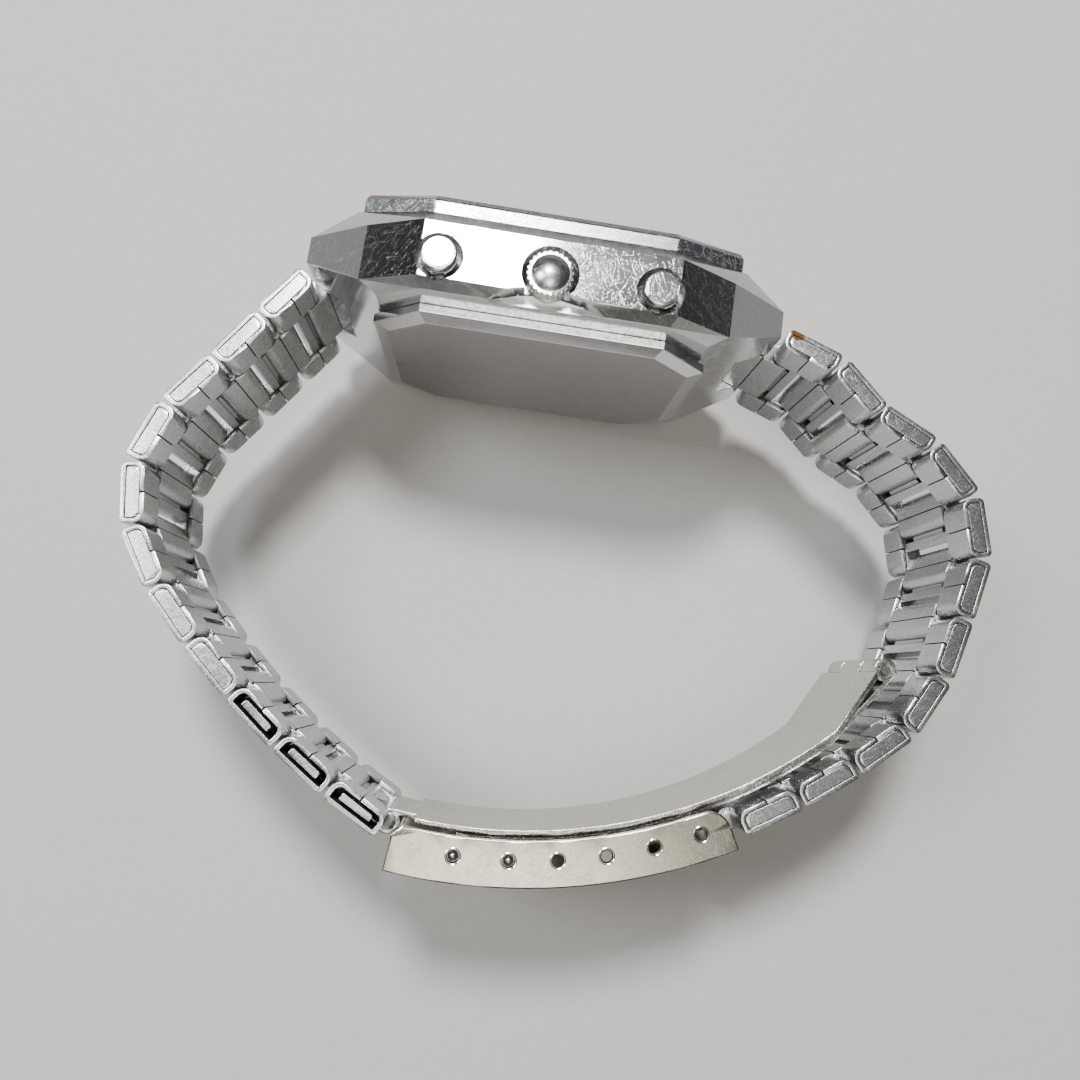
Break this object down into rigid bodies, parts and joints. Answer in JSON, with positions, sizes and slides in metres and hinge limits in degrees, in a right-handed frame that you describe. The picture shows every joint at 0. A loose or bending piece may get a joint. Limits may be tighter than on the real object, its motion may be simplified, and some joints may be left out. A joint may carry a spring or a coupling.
{
  "type": "analog quartz watch",
  "caption": "Quartz wristwatch with a faceted steel case, crown and low round pushers, on a folded-link steel bracelet with a fold-over clasp, closed.",
  "frame": {"origin": "middle of the 9 o'clock flank of the case, the face that the watch rests on", "axes": "+X towards 12 o'clock, +Y out of the dial, +Z towards the crown, across the width of the case and bracelet"},
  "size_m": [0.0804, 0.0594, 0.0349],
  "materials": {
    "case_steel": "polished, lightly scratched",
    "link_steel": "brushed",
    "clasp_steel": "brushed and worn",
    "pin_steel": "satin",
    "back_steel": "satin",
    "crystal": "clear",
    "dial": "satin",
    "marker": "polished",
    "display": "gloss",
    "gasket": "matte",
    "plate": "satin",
    "board": "satin",
    "cell": "satin",
    "winding": "satin"
  },
  "bodies": {
    "case": {"case_body": "case_steel", "bezel": "case_steel", "crystal": "crystal", "case_back": "back_steel", "case_back_gasket": "gasket", "dial": "dial", "hour_markers": "marker", "display_panel": "display", "movement_plate": "plate", "gear_train_cover": "plate", "circuit_board": "board", "battery": "cell", "battery_strap": "pin_steel", "coil": "winding", "stator": "pin_steel", "quartz_can": "cell", "spring_bar_12": "pin_steel", "pusher_spring_2": "pin_steel", "pusher_spring_4": "pin_steel"},
    "second_hand": {"second_hand": "marker"},
    "minute_hand": {"minute_hand": "marker"},
    "hour_hand": {"hour_hand": "marker"},
    "rotor": {"rotor": "pin_steel"},
    "setting_lever": {"setting_lever": "pin_steel"},
    "crown": {"crown": "case_steel", "stem": "pin_steel", "crown_gasket": "gasket"},
    "pusher_2": {"pusher_2": "case_steel"},
    "pusher_4": {"pusher_4": "case_steel"},
    "link_12_01": {"link_12_01": "link_steel"},
    "link_12_02": {"link_12_02": "link_steel"},
    "link_12_03": {"link_12_03": "link_steel"},
    "link_12_04": {"link_12_04": "link_steel"},
    "link_12_05": {"link_12_05": "link_steel"},
    "link_12_06": {"link_12_06": "link_steel"},
    "link_12_07": {"link_12_07": "link_steel"},
    "link_12_08": {"link_12_08": "link_steel"},
    "link_12_09": {"link_12_09": "link_steel"},
    "link_12_10": {"link_12_10": "link_steel"},
    "link_12_11": {"link_12_11": "link_steel"},
    "clasp_end": {"clasp_end_link": "clasp_steel"},
    "clasp_cover": {"clasp_cover": "clasp_steel", "clasp_cover_pins": "pin_steel", "clasp_spring_bar": "pin_steel"},
    "clasp_middle": {"clasp_blade_middle": "clasp_steel", "clasp_blade_pin": "pin_steel"},
    "clasp_inner": {"clasp_blade_inner": "clasp_steel"},
    "link_6_11": {"link_6_11": "link_steel"},
    "link_6_10": {"link_6_10": "link_steel"},
    "link_6_09": {"link_6_09": "link_steel"},
    "link_6_08": {"link_6_08": "link_steel"},
    "link_6_07": {"link_6_07": "link_steel"},
    "link_6_06": {"link_6_06": "link_steel"},
    "link_6_05": {"link_6_05": "link_steel"},
    "link_6_04": {"link_6_04": "link_steel"},
    "link_6_03": {"link_6_03": "link_steel"},
    "link_6_02": {"link_6_02": "link_steel"},
    "link_6_01": {"link_6_01": "link_steel", "spring_bar_6": "pin_steel"}
  },
  "joints": [
    {"name": "hinge_12_01", "type": "hinge", "parent": "case", "child": "link_12_01", "pos_m": [0.0209, 0.00115, 0.017], "axis": [0, 0, 1], "range_deg": [0, 6]},
    {"name": "hinge_12_02", "type": "hinge", "parent": "link_12_01", "child": "link_12_02", "pos_m": [0.02849, -0.00146, 0.017], "axis": [0, 0, 1], "range_deg": [0, 14]},
    {"name": "hinge_12_03", "type": "hinge", "parent": "link_12_02", "child": "link_12_03", "pos_m": [0.03277, -0.00545, 0.017], "axis": [0, 0, 1], "range_deg": [0, 9]},
    {"name": "hinge_12_04", "type": "hinge", "parent": "link_12_03", "child": "link_12_04", "pos_m": [0.03802, -0.00802, 0.017], "axis": [0, 0, 1], "range_deg": [0, 14]},
    {"name": "hinge_12_05", "type": "hinge", "parent": "link_12_04", "child": "link_12_05", "pos_m": [0.04208, -0.01223, 0.017], "axis": [0, 0, 1], "range_deg": [0, 25]},
    {"name": "hinge_12_06", "type": "hinge", "parent": "link_12_05", "child": "link_12_06", "pos_m": [0.0434, -0.01793, 0.017], "axis": [0, 0, 1], "range_deg": [0, 22]},
    {"name": "hinge_12_07", "type": "hinge", "parent": "link_12_06", "child": "link_12_07", "pos_m": [0.04208, -0.02363, 0.017], "axis": [0, 0, 1], "range_deg": [0, 6]},
    {"name": "hinge_12_08", "type": "hinge", "parent": "link_12_07", "child": "link_12_08", "pos_m": [0.04056, -0.02928, 0.017], "axis": [0, 0, 1], "range_deg": [0, 9]},
    {"name": "hinge_12_09", "type": "hinge", "parent": "link_12_08", "child": "link_12_09", "pos_m": [0.03771, -0.03439, 0.017], "axis": [0, 0, 1], "range_deg": [0, 16]},
    {"name": "hinge_12_10", "type": "hinge", "parent": "link_12_09", "child": "link_12_10", "pos_m": [0.03329, -0.03822, 0.017], "axis": [0, 0, 1], "range_deg": [0, 6]},
    {"name": "hinge_12_11", "type": "hinge", "parent": "link_12_10", "child": "link_12_11", "pos_m": [0.02856, -0.04166, 0.017], "axis": [0, 0, 1], "range_deg": [0, 6]},
    {"name": "end_link_hinge", "type": "hinge", "parent": "link_12_11", "child": "clasp_end", "pos_m": [0.02354, -0.04466, 0.017], "axis": [0, 0, 1], "range_deg": [0, 5]},
    {"name": "adjuster_pivot", "type": "hinge", "parent": "clasp_end", "child": "clasp_cover", "pos_m": [0.01218, -0.04877, 0.017], "axis": [0, 0, 1], "range_deg": [0, 2.5]},
    {"name": "clasp_fold", "type": "hinge", "parent": "clasp_cover", "child": "clasp_middle", "pos_m": [-0.00097, -0.05049, 0.017], "axis": [0, 0, 1], "range_deg": [0, 150]},
    {"name": "blade_hinge", "type": "hinge", "parent": "clasp_middle", "child": "clasp_inner", "pos_m": [0.0365, -0.02922, 0.017], "axis": [0, 0, 1], "range_deg": [-150, 0]},
    {"name": "hinge_6_12", "type": "hinge", "parent": "clasp_inner", "child": "link_6_11", "pos_m": [-0.00726, -0.04899, 0.017], "axis": [0, 0, 1], "range_deg": [0, 57]},
    {"name": "hinge_6_11", "type": "hinge", "parent": "link_6_11", "child": "link_6_10", "pos_m": [-0.01238, -0.04616, 0.017], "axis": [0, 0, 1], "range_deg": [0, 5]},
    {"name": "hinge_6_10", "type": "hinge", "parent": "link_6_10", "child": "link_6_09", "pos_m": [-0.01724, -0.04289, 0.017], "axis": [0, 0, 1], "range_deg": [0, 4]},
    {"name": "hinge_6_09", "type": "hinge", "parent": "link_6_09", "child": "link_6_08", "pos_m": [-0.02185, -0.0393, 0.017], "axis": [0, 0, 1], "range_deg": [0, 5]},
    {"name": "hinge_6_08", "type": "hinge", "parent": "link_6_08", "child": "link_6_07", "pos_m": [-0.0262, -0.03539, 0.017], "axis": [0, 0, 1], "range_deg": [0, 5]},
    {"name": "hinge_6_07", "type": "hinge", "parent": "link_6_07", "child": "link_6_06", "pos_m": [-0.03027, -0.03118, 0.017], "axis": [0, 0, 1], "range_deg": [0, 13]},
    {"name": "hinge_6_06", "type": "hinge", "parent": "link_6_06", "child": "link_6_05", "pos_m": [-0.03337, -0.02623, 0.017], "axis": [0, 0, 1], "range_deg": [0, 24]},
    {"name": "hinge_6_05", "type": "hinge", "parent": "link_6_05", "child": "link_6_04", "pos_m": [-0.03429, -0.02045, 0.017], "axis": [0, 0, 1], "range_deg": [0, 27]},
    {"name": "hinge_6_04", "type": "hinge", "parent": "link_6_04", "child": "link_6_03", "pos_m": [-0.03229, -0.01495, 0.017], "axis": [0, 0, 1], "range_deg": [0, 15]},
    {"name": "hinge_6_03", "type": "hinge", "parent": "link_6_03", "child": "link_6_02", "pos_m": [-0.02886, -0.01022, 0.017], "axis": [0, 0, 1], "range_deg": [0, 5]},
    {"name": "hinge_6_02", "type": "hinge", "parent": "link_6_02", "child": "link_6_01", "pos_m": [-0.0255, -0.00542, 0.017], "axis": [0, 0, 1], "range_deg": [0, 4]},
    {"name": "second_hand_turn", "type": "hinge", "parent": "case", "child": "second_hand", "pos_m": [0, 0, 0.017], "axis": [0, -1, 0], "continuous": true},
    {"name": "minute_hand_turn", "type": "hinge", "parent": "case", "child": "minute_hand", "pos_m": [0, 0, 0.017], "axis": [0, -1, 0], "continuous": true},
    {"name": "hour_hand_turn", "type": "hinge", "parent": "case", "child": "hour_hand", "pos_m": [0, 0, 0.017], "axis": [0, -1, 0], "continuous": true},
    {"name": "rotor_turn", "type": "hinge", "parent": "case", "child": "rotor", "pos_m": [0.0034, 0, 0.011], "axis": [0, -1, 0], "continuous": true},
    {"name": "crown_pull", "type": "slide", "parent": "case", "child": "setting_lever", "axis": [0, 0, 1], "range_m": [0, 0.001]},
    {"name": "crown_turn", "type": "hinge", "parent": "setting_lever", "child": "crown", "pos_m": [0, -0.0006, 0.034], "axis": [0, 0, 1], "continuous": true},
    {"name": "push_2", "type": "slide", "parent": "case", "child": "pusher_2", "axis": [0, 0, -1], "range_m": [0, 0.0008], "stiffness_N_per_m": 1500, "springref_m": -0.0004, "deforming": ["pusher_spring_2"]},
    {"name": "push_4", "type": "slide", "parent": "case", "child": "pusher_4", "axis": [0, 0, -1], "range_m": [0, 0.0008], "stiffness_N_per_m": 1500, "springref_m": -0.0004, "deforming": ["pusher_spring_4"]}
  ],
  "couplings": [
    {"joint": "blade_hinge", "follows": "clasp_fold", "ratio": -1},
    {"joint": "hinge_6_12", "follows": "clasp_fold", "ratio": 0.38},
    {"joint": "hinge_6_11", "follows": "hinge_6_05", "ratio": 0.18519},
    {"joint": "hinge_6_10", "follows": "hinge_6_05", "ratio": 0.14815},
    {"joint": "hinge_6_09", "follows": "hinge_6_05", "ratio": 0.18519},
    {"joint": "hinge_6_08", "follows": "hinge_6_05", "ratio": 0.18519},
    {"joint": "hinge_6_07", "follows": "hinge_6_05", "ratio": 0.48148},
    {"joint": "hinge_6_06", "follows": "hinge_6_05", "ratio": 0.88889},
    {"joint": "hinge_6_04", "follows": "hinge_6_05", "ratio": 0.55556},
    {"joint": "hinge_6_03", "follows": "hinge_6_05", "ratio": 0.18519},
    {"joint": "hinge_6_02", "follows": "hinge_6_05", "ratio": 0.14815},
    {"joint": "second_hand_turn", "follows": "rotor_turn", "ratio": 0.033333},
    {"joint": "minute_hand_turn", "follows": "rotor_turn", "ratio": 0.00055556},
    {"joint": "hour_hand_turn", "follows": "rotor_turn", "ratio": 0.000046296}
  ]
}
